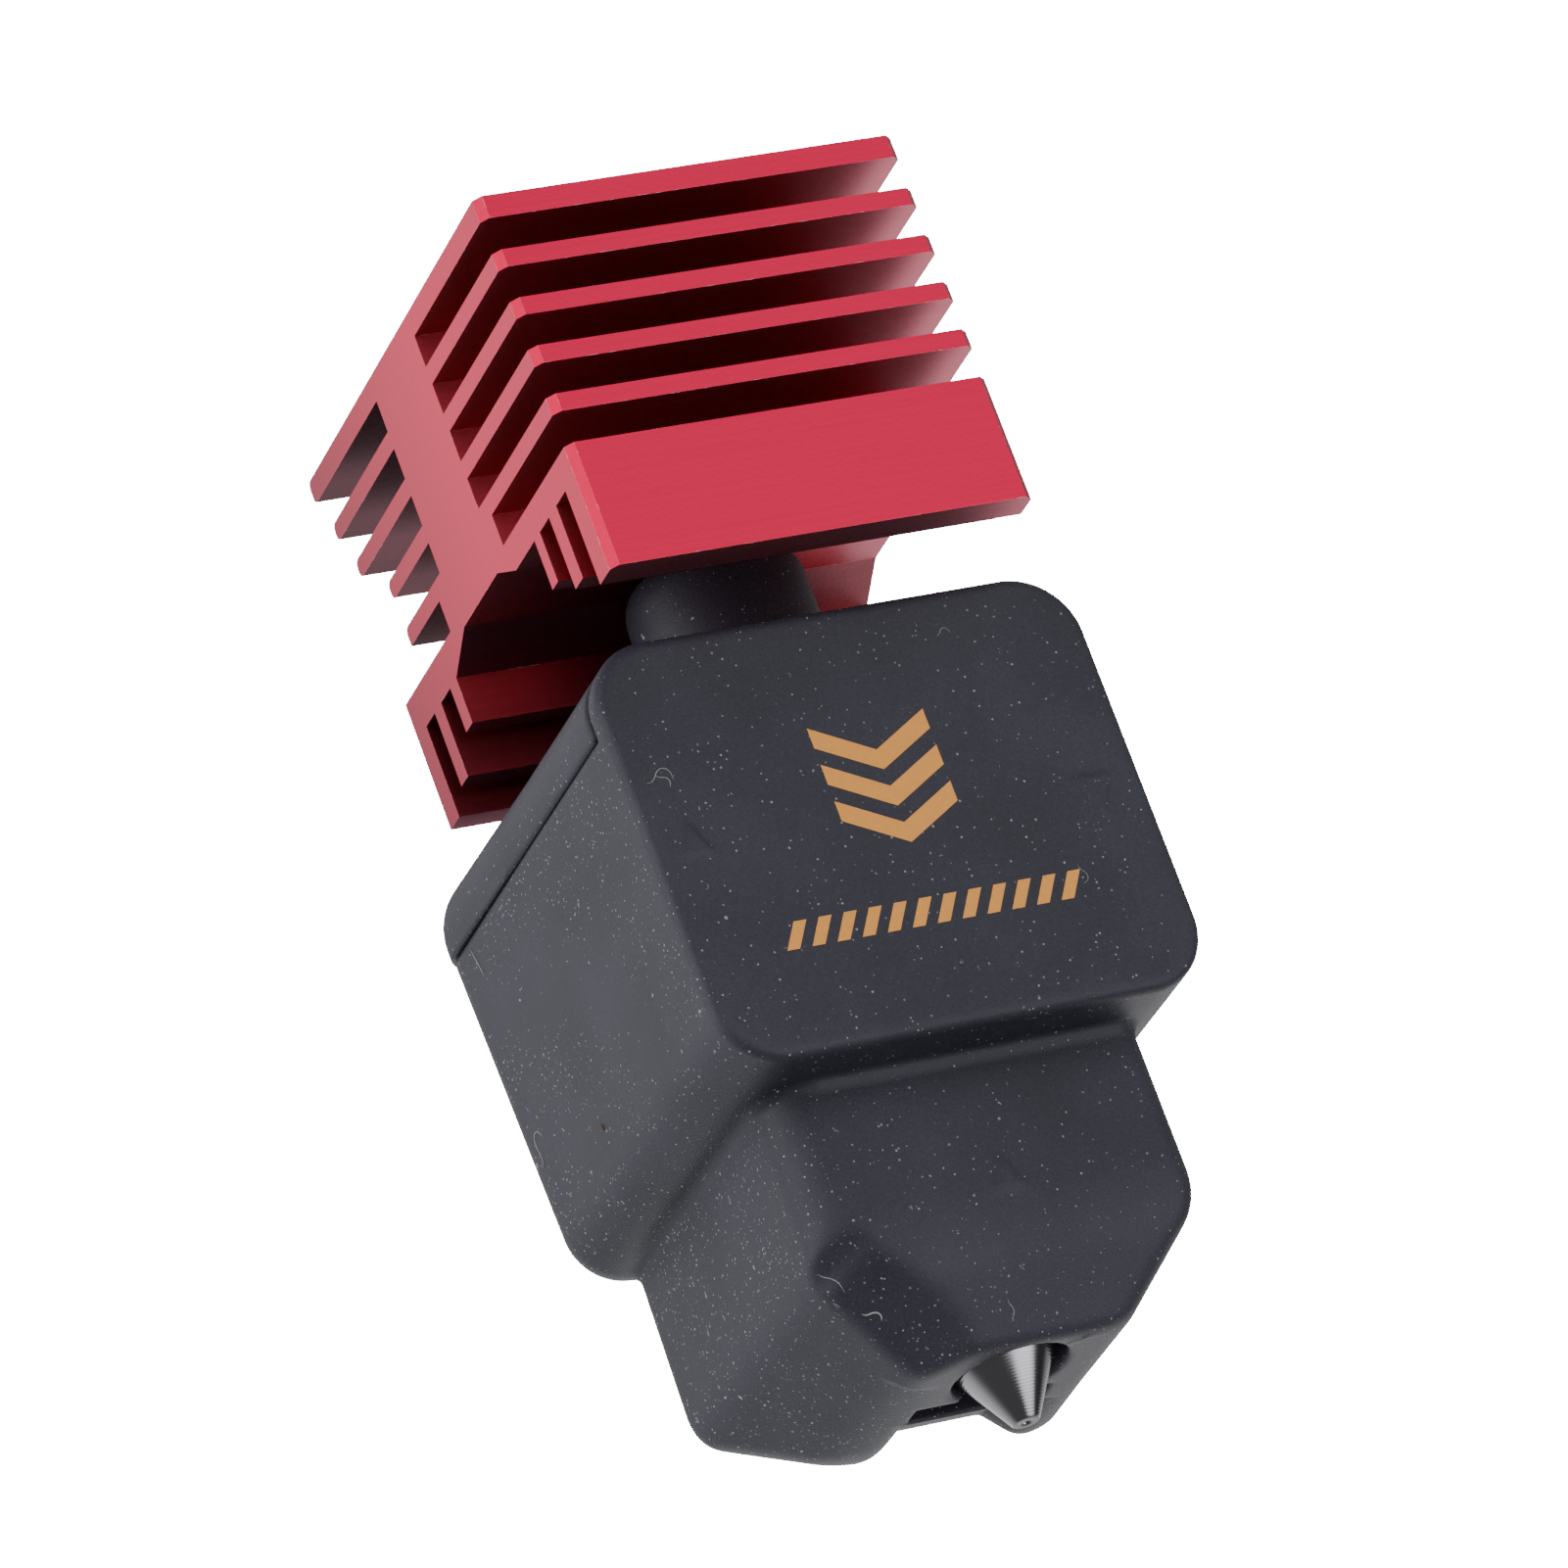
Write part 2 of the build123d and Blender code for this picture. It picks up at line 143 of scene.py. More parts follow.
def surface_net(distance, low, high, cell):
    """Vertices and quads where distance(x, y, z) is zero, inside the box from low to high."""
    axes = [np.arange(a, b + cell, cell) for a, b in zip(low, high)]
    grid = np.stack(np.meshgrid(*axes, indexing="ij"))
    field = distance(*grid)
    solid = field < 0
    corners = [(i, j, k) for i in (0, 1) for j in (0, 1) for k in (0, 1)]
    n = [len(a) - 1 for a in axes]

    def shifted(values, c):
        return values[c[0]:c[0] + n[0], c[1]:c[1] + n[1], c[2]:c[2] + n[2]]

    count = sum(shifted(solid, c).astype(np.int8) for c in corners)
    cells = np.argwhere((count > 0) & (count < 8))
    number = np.full(n, -1, np.int64)
    number[tuple(cells.T)] = np.arange(len(cells))
    total = np.zeros((len(cells), 3))
    hits = np.zeros(len(cells))
    for a in corners:
        for axis in range(3):
            if a[axis]:
                continue
            b = tuple(1 if i == axis else a[i] for i in range(3))
            da = field[tuple((cells + a).T)]
            db = field[tuple((cells + b).T)]
            crossing = (da < 0) != (db < 0)
            t = np.where(crossing, da / np.where(crossing, da - db, 1), 0)
            point = np.tile(np.array(a, float), (len(cells), 1))
            point[:, axis] = t
            total += point * crossing[:, None]
            hits += crossing
    verts = np.array(low) + (cells + total / hits[:, None]) * cell
    for _ in range(3):
        verts -= slope(distance, verts)[0]
    quads = []
    for axis in range(3):
        u, v = [(1, 2), (2, 0), (0, 1)][axis]
        lower = [slice(1, -1)] * 3
        upper = [slice(1, -1)] * 3
        lower[axis] = slice(0, -1)
        upper[axis] = slice(1, None)
        change = solid[tuple(lower)] != solid[tuple(upper)]
        at = np.argwhere(change) + [0 if i == axis else 1 for i in range(3)]
        outward = solid[tuple(at.T)]
        du = np.eye(3, dtype=int)[u]
        dv = np.eye(3, dtype=int)[v]
        ring = [at - du - dv, at - dv, at, at - du]
        quad = np.stack([number[tuple(r.T)] for r in ring], axis=1)
        quads.append(np.where(outward[:, None], quad, quad[:, ::-1]))
    return verts, np.concatenate(quads)


def slope(distance, points):
    """The step from each point to the surface, and the surface's normal there."""
    reach = 0.01
    longest = 0.1
    rises = [distance(*(points + reach * way).T) - distance(*(points - reach * way).T) for way in np.eye(3)]
    gradient = np.stack(rises, 1) / (2 * reach)
    size = np.maximum((gradient * gradient).sum(1), 0.05)
    step = np.clip((distance(*points.T) / size)[:, None] * gradient, -longest, longest)
    return step, gradient / np.sqrt(size)[:, None]


def mesh_object(name, verts, faces, material, smooth=True):
    """A mesh from vertices in millimetres and faces that may differ in length."""
    places = [tuple(v) for v in np.asarray(verts, float) * MM]
    mesh = bpy.data.meshes.new(name)
    mesh.from_pydata(places, [], [tuple(int(i) for i in face) for face in faces])
    mesh.update()
    mesh.polygons.foreach_set("use_smooth", [smooth] * len(mesh.polygons))
    mesh.materials.append(material)
    obj = bpy.data.objects.new(name, mesh)
    bpy.context.scene.collection.objects.link(obj)
    return obj


# --- materials --------------------------------------------------------------------
def new_material(name):
    """A material with its node tree, its principled shader and a shorthand to add nodes."""
    material = bpy.data.materials.new(name)
    material.use_nodes = True
    tree = material.node_tree
    shader = next(n for n in tree.nodes if n.type == "BSDF_PRINCIPLED")

    def add(kind, inputs=(), **settings):
        node = tree.nodes.new(kind)
        for key, value in settings.items():
            setattr(node, key, value)
        for key, value in dict(inputs).items():
            if isinstance(value, bpy.types.NodeSocket):
                tree.links.new(value, node.inputs[key])
            else:
                node.inputs[key].default_value = value
        return node

    return material, tree, shader, add


def grained_material(name, colour, metallic, roughness, grain=4000.0, spread=0.15, relief=0.00002):
    """One colour whose tone wavers by spread, with a fine relief."""
    material, tree, shader, add = new_material(name)
    where = add("ShaderNodeTexCoord").outputs["Object"]
    noise = add("ShaderNodeTexNoise", {"Vector": where, "Scale": grain, "Detail": 3.0})
    tone = add("ShaderNodeMix", {"Factor": noise.outputs["Fac"]}, data_type="RGBA")
    tone.inputs[6].default_value = (*(c * (1 - spread) for c in colour), 1)
    tone.inputs[7].default_value = (*(min(c * (1 + spread), 1) for c in colour), 1)
    bump = add("ShaderNodeBump", {"Height": noise.outputs["Fac"], "Strength": 0.3, "Distance": relief})
    tree.links.new(tone.outputs[2], shader.inputs["Base Color"])
    tree.links.new(bump.outputs[0], shader.inputs["Normal"])
    shader.inputs["Metallic"].default_value = metallic
    shader.inputs["Roughness"].default_value = roughness
    return material


# Kinds of dust: cells per metre, largest radius in cells, share of empty cells, scale along Z, and waviness.
DUST = (
    (1400.0, 0.11, 0.95, 1.0, 0.0003),
    (3000.0, 0.19, 0.87, 1.0, 0.0003),
    (5500.0, 0.30, 0.72, 1.0, 0.0001),
    (2100.0, 0.14, 0.93, 0.4, 0.0004),
)


def silicone_material():
    """Charcoal silicone: matt, finely grained, with pale dust that lies thicker low at the rear left."""
    material, tree, shader, add = new_material("silicone")
    where = add("ShaderNodeTexCoord").outputs["Object"]
    cloud = add("ShaderNodeTexNoise", {"Vector": where, "Scale": 170.0, "Detail": 3.0})
    grain = add("ShaderNodeTexNoise", {"Vector": where, "Scale": 9000.0, "Detail": 2.0})
    blend = add("ShaderNodeMath", {0: cloud.outputs["Fac"], 1: grain.outputs["Fac"]}, operation="ADD")
    tone = add("ShaderNodeMapRange", {0: blend.outputs[0], 1: 0.6, 2: 1.4})
    base = add("ShaderNodeMix", {"Factor": tone.outputs[0]}, data_type="RGBA")
    base.inputs[6].default_value = (0.019, 0.019, 0.030, 1)
    base.inputs[7].default_value = (0.038, 0.038, 0.057, 1)
    low_left = add("ShaderNodeVectorMath", {0: where, 1: (-1.0, 1.0, -1.0)}, operation="DOT_PRODUCT")
    lie = add("ShaderNodeMapRange", {0: low_left.outputs["Value"], 1: 0.036, 2: 0.062, 3: 0.0, 4: 0.42})
    warp = add("ShaderNodeTexNoise", {"Vector": where, "Scale": 2500.0, "Detail": 1.0})
    colour = base.outputs[2]
    height = 0.0
    for scale, size, rare, stretch, bend in DUST:
        bends = (bend, bend, bend)
        bent = add("ShaderNodeVectorMath", {0: warp.outputs["Color"], 1: bends}, operation="MULTIPLY")
        place = add("ShaderNodeVectorMath", {0: where, 1: bent.outputs[0]}, operation="ADD")
        drawn = add("ShaderNodeMapping", {"Vector": place.outputs[0], "Scale": (1.0, 1.0, stretch)})
        cells = add("ShaderNodeTexVoronoi", {"Vector": drawn.outputs[0], "Scale": scale})
        pick = add("ShaderNodeSeparateColor", {"Color": cells.outputs["Color"]})
        limit = add("ShaderNodeMath", {0: rare, 1: lie.outputs[0]}, operation="SUBTRACT")
        chosen = add("ShaderNodeMath", {0: pick.outputs[0], 1: limit.outputs[0]}, operation="GREATER_THAN")
        reach = add("ShaderNodeMath", {0: pick.outputs[1], 1: size}, operation="MULTIPLY")
        far = cells.outputs["Distance"]
        near = add("ShaderNodeMath", {0: far, 1: reach.outputs[0]}, operation="LESS_THAN")
        speck = add("ShaderNodeMath", {0: near.outputs[0], 1: chosen.outputs[0]}, operation="MULTIPLY")
        faint = add("ShaderNodeMath", {0: speck.outputs[0], 1: pick.outputs[2]}, operation="MULTIPLY")
        mix = add("ShaderNodeMix", {"Factor": faint.outputs[0], 6: colour}, data_type="RGBA")
        mix.inputs[7].default_value = (0.34, 0.33, 0.33, 1)
        colour = mix.outputs[2]
        height = add("ShaderNodeMath", {0: speck.outputs[0], 1: height}, operation="ADD").outputs[0]
    rough = add("ShaderNodeBump", {"Height": grain.outputs["Fac"], "Strength": 0.25, "Distance": 0.00005})
    bump = add("ShaderNodeBump", {"Height": height, "Strength": 0.5, "Distance": 0.00004,
                                  "Normal": rough.outputs[0]})
    tree.links.new(colour, shader.inputs["Base Color"])
    tree.links.new(bump.outputs[0], shader.inputs["Normal"])
    shader.inputs["Roughness"].default_value = 0.55
    shader.inputs["Specular IOR Level"].default_value = 0.36
    return material


def anodised_material(name, light, dark, roughness, coat, nicks=0.0, glance=(1.0, 1.0, 1.0)):
    """Red anodised aluminium: fine grain along X, painted shade that darkens it towards the rear, with bare
    nicks if nicks is over 0.
    """
    material, tree, shader, add = new_material(name)
    where = add("ShaderNodeTexCoord").outputs["Object"]
    long = add("ShaderNodeMapping", {"Vector": where, "Scale": (90.0, 5000.0, 5000.0)})
    lines = add("ShaderNodeTexNoise", {"Vector": long.outputs[0], "Scale": 1.0, "Detail": 3.0})
    fine = add("ShaderNodeTexNoise", {"Vector": where, "Scale": 5000.0, "Detail": 3.0})
    tone = add("ShaderNodeMix", {"Factor": lines.outputs["Fac"]}, data_type="RGBA")
    tone.inputs[6].default_value = (*dark, 1)
    tone.inputs[7].default_value = (*light, 1)
    # Painted shade: towards the rear the colour is multiplied down to half.
    depth = add("ShaderNodeSeparateXYZ", {"Vector": where})
    shade = add("ShaderNodeMapRange", {0: depth.outputs[1], 1: -0.002, 2: 0.011, 3: 1.0, 4: 0.5})
    shaded_rear = add("ShaderNodeMix", {"Factor": 1.0, 6: tone.outputs[2]}, data_type="RGBA", blend_type="MULTIPLY")
    tree.links.new(shade.outputs[0], shaded_rear.inputs[7])
    wear = add("ShaderNodeTexNoise", {"Vector": where, "Scale": 1700.0, "Detail": 3.0})
    bare = add("ShaderNodeMath", {0: wear.outputs["Fac"], 1: 1.0 - nicks}, operation="GREATER_THAN")
    worn = add("ShaderNodeMix", {"Factor": bare.outputs[0], 6: shaded_rear.outputs[2]}, data_type="RGBA")
    worn.inputs[7].default_value = (1.0, 0.78, 0.80, 1)
    tree.links.new(worn.outputs[2], shader.inputs["Base Color"])
    bump = add("ShaderNodeBump", {"Height": fine.outputs["Fac"], "Strength": 0.25, "Distance": 0.00003})
    tree.links.new(bump.outputs[0], shader.inputs["Normal"])
    shader.inputs["Metallic"].default_value = 1.0
    shader.inputs["Roughness"].default_value = roughness
    shader.inputs["Specular Tint"].default_value = (*glance, 1)
    shader.inputs["Coat Weight"].default_value = coat
    shader.inputs["Coat Roughness"].default_value = 0.25
    shader.inputs["Coat IOR"].default_value = 1.45
    return material


def steel_material():
    """Dark turned steel, with fine rings from the lathe."""
    material, tree, shader, add = new_material("turned_steel")
    where = add("ShaderNodeTexCoord").outputs["Object"]
    rings = add("ShaderNodeTexWave", {"Vector": where, "Scale": 2600.0, "Distortion": 2.0, "Detail": 3.0},
                bands_direction="Z")
    bump = add("ShaderNodeBump", {"Height": rings.outputs["Fac"], "Strength": 0.12, "Distance": 0.00003})
    tree.links.new(bump.outputs[0], shader.inputs["Normal"])
    shader.inputs["Base Color"].default_value = (0.305, 0.295, 0.32, 1)
    shader.inputs["Metallic"].default_value = 1.0
    shader.inputs["Roughness"].default_value = 0.2
    return material


SILICONE = silicone_material()
# For the front and the ends; copies with painted shade for the faces behind the front, its undersides and the
# rear fins'; and the worn edges, whose lighter tone is a painted glint.
RED = anodised_material("red_anodised", (0.70, 0.004, 0.066), (0.62, 0.003, 0.052), 0.36, 0.22)
# Painted shade: a desaturated copy of the red for the faces behind the front, which lie in the gaps.
RED_BEHIND_SHADE = anodised_material("red_anodised_behind_shade", (0.80, 0.11, 0.15), (0.68, 0.095, 0.13), 0.42, 0.12)
# Painted shade: a darker copy for the undersides behind the front.
RED_UNDER_SHADE = anodised_material("red_anodised_under_shade", (0.54, 0.17, 0.20), (0.45, 0.14, 0.165), 0.45, 0.05,
                            glance=(0.42, 0.46, 0.50))
# Painted shade: the darkest copy, for the undersides of the rear fins.
RED_REAR_SHADE = anodised_material("red_anodised_rear_shade", (0.17, 0.055, 0.065), (0.13, 0.045, 0.055), 0.45, 0.05,
                             glance=(0.56, 0.58, 0.60))
# The worn edges: the bare nicks are wear, and the lighter pink tone is a painted glint.
RED_EDGE_GLINT = anodised_material("red_anodised_edge", (1.0, 0.24, 0.30), (0.74, 0.02, 0.08), 0.30, 0.5, 0.40)
STEEL = steel_material()
BURNT = grained_material("burnt_steel", (0.07, 0.065, 0.065), 1.0, 0.4)
INK = grained_material("orange_ink", (0.95, 0.38, 0.065), 0.0, 0.6, spread=0.10)
LINT = grained_material("lint", (0.36, 0.34, 0.33), 0.0, 0.9)
SPECK = grained_material("brown_speck", (0.10, 0.045, 0.02), 0.0, 0.9)
INNER = {
    "copper_alloy": grained_material("copper_alloy", (0.72, 0.40, 0.26), 1.0, 0.3),
    "heatbreak_steel": grained_material("heatbreak_steel", (0.55, 0.54, 0.52), 1.0, 0.3),
    "block_aluminium": grained_material("block_aluminium", (0.62, 0.62, 0.64), 1.0, 0.38),
    "stainless": grained_material("stainless", (0.58, 0.58, 0.57), 1.0, 0.3),
    "black_steel": grained_material("black_steel", (0.05, 0.05, 0.055), 1.0, 0.35),
    "ptfe": grained_material("ptfe", (0.82, 0.82, 0.80), 0.0, 0.4, spread=0.05),
    "alumina": grained_material("alumina", (0.84, 0.82, 0.76), 0.0, 0.6, spread=0.08),
    "resistance_wire": grained_material("resistance_wire", (0.38, 0.36, 0.34), 1.0, 0.45),
    "ceramic_cement": grained_material("ceramic_cement", (0.74, 0.72, 0.66), 0.0, 0.8, relief=0.00008),
    "bead_glass": grained_material("bead_glass", (0.75, 0.70, 0.55), 0.0, 0.1, spread=0.05),
}

# --- silicone sock ----------------------------------------------------------------
UPPER_Z = (TOP + STEP) / 2
UPPER_HALF = (TOP - STEP) / 2
MID_Y = (FRONT + REAR) / 2
NOSE_MID = (NOSE_FRONT + NOSE_REAR) / 2
NOSE_HALF = (NOSE_REAR - NOSE_FRONT) / 2


def box_distance(x, y, z, low, high):
    return np.maximum.reduce([low[0] - x, x - high[0], low[1] - y, y - high[1], low[2] - z, z - high[2]])


def incline(beyond, z, run):
    """Distance to a slope that starts at EDGE and comes in by run on its way down to FLAT."""
    drop = EDGE - FLAT
    return (beyond * drop - (z - EDGE) * run) / math.hypot(run, drop)


def share(value, start, end):
    """How far a value has come from start to end, from 0 to 1."""
    return np.clip((value - start) / (end - start), 0, 1)


def plain_outside(x, y, z):
    """The closed outer shape: a round-cornered block with a narrower nose under it."""
    low_rear = share(y, FRONT, REAR) * share(z, SEAM, STEP)
    rim = np.where(y < MID_Y, FRONT_RIM, REAR_RIM)
    pinch = PINCH * low_rear  # the outline moves down as it shrinks, so the underside stays level
    outline = plate_distance(x, z - UPPER_Z + pinch, HALF_X, UPPER_HALF, BLOCK_CORNER) + pinch
    upper = thick(outline, y - MID_Y, (REAR - FRONT) / 2, rim)
    half_x = NOSE_X + 0.25 * share(y, NOSE_MID, NOSE_REAR) * share(z, STEP, EDGE)
    soft_corner = (x < 0) & (y < NOSE_MID)
    corner = np.where(soft_corner, SOFT_CORNER, NOSE_CORNER)
    plan = plate_distance(x, y - NOSE_MID, half_x, NOSE_HALF, corner)
    side = incline(np.abs(x) - half_x, z, NOSE_X - FLAT_X)
    front = incline(NOSE_FRONT - y, z, FLAT_FRONT - NOSE_FRONT)
    rear = incline(y - NOSE_REAR, z, NOSE_REAR - FLAT_REAR)
    hips = soft_max(soft_max(side, front, np.where(x < 0, 1.8, 0.9)), rear, 1.0)
    under = soft_max(hips, FLAT - z, np.where((x > 0) | (y < 0), 0.5, 1.2))
    nose = soft_max(np.maximum(plan, z - UPPER_Z), under, 1.0)
    return soft_min(upper, nose, 0.6)


def segment_distance(p, a, b):
    """Distance from the points p, given as x, y and z, to the straight line from a to b."""
    along = b - a
    rel = [p[i] - a[i] for i in range(3)]
    t = np.clip(sum(rel[i] * along[i] for i in range(3)) / (along @ along), 0, 1)
    return np.sqrt(sum((rel[i] - t * along[i]) ** 2 for i in range(3)))


def on_sock(point):
    """The nearest place on the plain outer shape, and the outward normal there."""
    p = np.array([point], float)
    for _ in range(12):
        p -= slope(plain_outside, p)[0]
    return p[0], slope(plain_outside, p)[1][0]


# A shallow valley runs down the front left hip, and a short crease round the corner above it.
DENTS = []
for start, stop, radius, depth, blend in (
    ((-8.3, -5.6, -48.5), (-4.9, -3.6, -51.4), 1.3, 0.15, 1.8),
    ((-9.0, -3.9, -48.1), (-7.9, -6.2, -47.6), 0.5, 0.11, 0.6),
):
    ends = []
    for corner in (start, stop):
        place, normal = on_sock(corner)
        ends.append(place + normal * (radius - depth))
    DENTS.append((ends[0], ends[1], radius, blend))


# Three faint raised triangles: place across, height, half size, which way they point, and the wall's plane.
RELIEF = 0.10
RAISED = ((9.1, -29.9, 1.3, 1, FRONT), (-9.6, -29.8, 1.1, -1, FRONT), (0.15, -45.9, 1.2, -1, NOSE_FRONT))


# A fine ridge of flash runs along the top of the nose, and another beside the mouth: two ends and a radius.
FLASH = (
    (np.array((-6.8, NOSE_FRONT - 0.10, STEP - 0.26)), np.array((8.2, NOSE_FRONT - 0.10, STEP - 0.26)), 0.07),
    (np.array((1.9, -1.9, FLAT)), np.array((2.7, -2.5, FLAT)), 0.07),
    (np.array((2.7, -2.5, FLAT)), np.array((3.7, -2.6, FLAT)), 0.07),
)


def sock_outside(x, y, z):
    shape = plain_outside(x, y, z)
    for a, b, radius in FLASH:
        shape = soft_min(shape, segment_distance((x, y, z), a, b) - radius, 0.08)
    for a, b, radius, blend in DENTS:
        shape = soft_max(shape, radius - segment_distance((x, y, z), a, b), blend)
    for across, height, half, way, plane in RAISED:
        u = np.abs(x - across)
        v = (z - height) * way
        inside = half - np.maximum(2 * v + half, 2 * u - v + half * 0.2) * 0.5
        shape = shape - RELIEF * share(inside, 0.25, 0.42) * (y < plane + 0.6)
    return shape


def sock_inside(x, y, z):
    """The hollow: room for the heater block, the nozzle's hexagon and its tip."""
    ends = np.maximum(FRONT + SKIN - y, y - REAR + SKIN)
    outline = plate_distance(x, z - UPPER_Z, HALF_X - SKIN, UPPER_HALF - SKIN, HOLLOW_CORNER)
    upper = np.maximum(outline, ends)
    ends = np.maximum(NOSE_FRONT + SKIN - y, y - NOSE_REAR + SKIN)
    lower = np.maximum.reduce([np.abs(x) - NOSE_X + SKIN, ends, BLOCK_FLOOR - z, z - STEP - 3])
    pocket = np.maximum(np.hypot(x, y) - POCKET, np.maximum(POCKET_FLOOR - z, z - STEP))
    mouth = np.maximum(np.hypot(x - MOUTH_X, y) - MOUTH, np.maximum(FLAT - 2 - z, z - STEP))
    return soft_min(np.minimum(upper, lower), soft_min(pocket, mouth, 0.25), 0.3)


def cap_region(x, y, z, gap):
    """Negative where the cap is: over the seam and behind the front wall."""
    return np.maximum(FRONT + SKIN + gap - y, SEAM + gap / 2 - z)


def sock_body_distance(x, y, z):
    shell = soft_max(sock_outside(x, y, z), -sock_inside(x, y, z), 0.3)
    shell = soft_max(shell, -cap_region(x, y, z, -SEAM_GAP), 0.12)
    open_top = np.maximum(np.maximum(np.abs(x) - HALF_X + SKIN, FRONT + SKIN - y), SEAM - z)
    shell = np.maximum(shell, -open_top)
    notch = box_distance(x, y, z, (-NOTCH_X, NOTCH_Y, FLAT - 5), (NOTCH_X, REAR + 5, NOTCH_Z))
    shell = soft_max(shell, -notch, np.where(y < NOTCH_Y, 0.3, 1.2))
    slit = box_distance(x, y, z, (-NOTCH_X - 0.4, SLIT_Y[0], FLAT - 5), (NOTCH_X, SLIT_Y[1], SLIT_Z))
    shell = soft_max(shell, -slit, 0.15)
    for across, half in WIRES:
        column = np.maximum(np.abs(x - across) - half, WIRE_Z - z)
        end = np.hypot(x - across, z - WIRE_Z) - half
        slot = np.maximum(np.minimum(column, end), REAR - 2 * SKIN - y)
        shell = soft_max(shell, -slot, 0.3)
    return shell


def sock_cap_distance(x, y, z):
    proud = CAP_PROUD * share(y, 2.0, REAR - 2)
    shell = soft_max(sock_outside(x, y, z) - proud, cap_region(x, y, z, SEAM_GAP), 0.12)
    around = np.hypot(x, y)
    collar = soft_max(around - COLLAR, z - COLLAR_TOP, 1.7)
    collar = np.maximum(collar, TOP - 1 - z)
    shell = soft_min(shell, collar, 0.6)
    shell = soft_max(shell, COLLAR_BORE - around, 0.3)
    room_low = (-HALF_X + SKIN, FRONT + SKIN, STEP)
    room_high = (HALF_X - SKIN, REAR - SKIN, TOP - SKIN)
    hollow = box_distance(x, y, z, room_low, room_high)
    return soft_max(shell, -hollow, 0.2)


CELL = 0.2
MARGIN = np.array([0.83, 0.87, 0.91])  # uneven, to keep walls off the grid's layers


def silicone_piece(name, distance, low, high, node, body):
    verts, quads = surface_net(distance, low - MARGIN, high + MARGIN, CELL)
    obj = mesh_object(name, verts, quads, SILICONE)
    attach(obj, body)
    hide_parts(node)


silicone_piece("sock_shell", sock_body_distance, body_low, body_high, "sock_body", "sock")
silicone_piece("sock_lid", sock_cap_distance, cap_low, cap_high, "sock_cap", "hot_side")


# --- print on the front: plain chevrons over a row of slanted bars ------------------
def slab(name, outlines, front, back, material):
    """Closed flat slabs, one for each outline of (x, z), between two places along Y."""
    verts = []
    faces = []
    for outline in outlines:
        n = len(outline)
        start = len(verts)
        verts += [(x, front, z) for x, z in outline] + [(x, back, z) for x, z in outline]
        faces.append([start + k for k in range(n)])
        faces.append([start + n + k for k in reversed(range(n))])
        faces += [[start + k, start + n + k, start + n + (k + 1) % n, start + (k + 1) % n] for k in range(n)]
    return mesh_object(name, verts, faces, material, smooth=False)


def chevron(top, half, drop, stroke):
    """A V that points down, in two halves that share its middle line."""
    left = [(-half, top), (0, top - drop), (0, top - drop - stroke), (-half, top - stroke)]
    return [left, [(-x, z) for x, z in reversed(left)]]


def slanted(x, low, high, width, lean):
    return [(x, low), (x + width, low), (x + width + lean, high), (x + lean, high)]


CHEVRON_TOP = -25.2
CHEVRON_STEP = 1.75
BARS_LEFT = -7.3
BAR_STEP = 1.18
INK_FILM = 0.015                   # how far the print stands out
INK_ROOT = 0.1                     # how far it reaches into the silicone
marks = [half for i in range(3) for half in chevron(CHEVRON_TOP - CHEVRON_STEP * i, 2.75, 1.5, 0.95)]
marks += [slanted(BARS_LEFT + BAR_STEP * i, -35.0, -33.75, 0.6, 0.75) for i in range(12)]
ink = slab("sock_print", marks, FRONT - INK_FILM, FRONT + INK_ROOT, INK)
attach(ink, "sock")


# --- lint on the silicone -----------------------------------------------------------
SIDES = 5                          # sides of a fibre's rings


def fibre(start, heading, curl, length, radius=0.022):
    """Rings round a thin hair that lies on the sock: start in millimetres, heading along the surface."""
    place = np.array(start, float)
    way = np.array(heading, float)
    steps = 16
    rings = []
    for i in range(steps + 1):
        place, normal = on_sock(place)
        way -= normal * (way @ normal)
        way /= np.linalg.norm(way)
        side = np.cross(normal, way)
        thin = radius * (1 - 0.7 * abs(2 * i / steps - 1) ** 3)
        middle = place + normal * 0.01
        angles = np.arange(SIDES) * 2 / SIDES * math.pi
        rings.append([middle + thin * (side * math.cos(a) + normal * math.sin(a)) for a in angles])
        way = way + side * curl * math.cos(5.0 * i / steps)
        place = place + way / np.linalg.norm(way) * length / steps
    return rings


def tubes(name, hairs, material):
    """One mesh of closed tubes, each from the rings of a fibre."""
    verts = []
    faces = []
    for rings in hairs:
        for i, ring in enumerate(rings):
            start = len(verts)
            verts += ring
            if i:
                for k in range(SIDES):
                    after = (k + 1) % SIDES
                    faces.append((start - SIDES + k, start - SIDES + after, start + after, start + k))
            else:
                faces.append(tuple(start + k for k in reversed(range(SIDES))))
        faces.append(tuple(len(verts) - SIDES + k for k in range(SIDES)))
    return mesh_object(name, verts, faces, material)


lint = tubes("lint", [
    fibre((-11.5, 10.9, -23.9), (0, -0.2, -1), 0.02, 1.6),
    fibre((-11.4, 12.1, -34.1), (0, -1.0, 0.2), 0.45, 2.6),
    fibre((-10.7, -8.9, -26.4), (1.0, 0, -0.5), 0.40, 1.9),
    fibre((-10.2, -8.9, -26.1), (0.3, 0, -1), 0.30, 1.0),
    fibre((-10.1, -8.9, -29.9), (0.7, 0, 0.7), 0.25, 1.3, 0.012),
    fibre((-8.4, -4.5, -50.6), (0.7, 0.2, -0.4), 0.35, 1.2, 0.035),
    fibre((-10.0, -5.0, -48.6), (0.8, 0, -0.8), 0.20, 1.6, 0.015),
    fibre((-1.0, -4.5, -50.5), (-0.1, 0.3, -1), 0.20, 1.0, 0.02),
    fibre((4.6, -8.9, -22.0), (1.0, 0, -0.3), 0.35, 1.0, 0.014),
    fibre((7.0, -8.9, -33.5), (-0.4, 0, -1.0), 0.30, 1.2, 0.014),
], LINT)
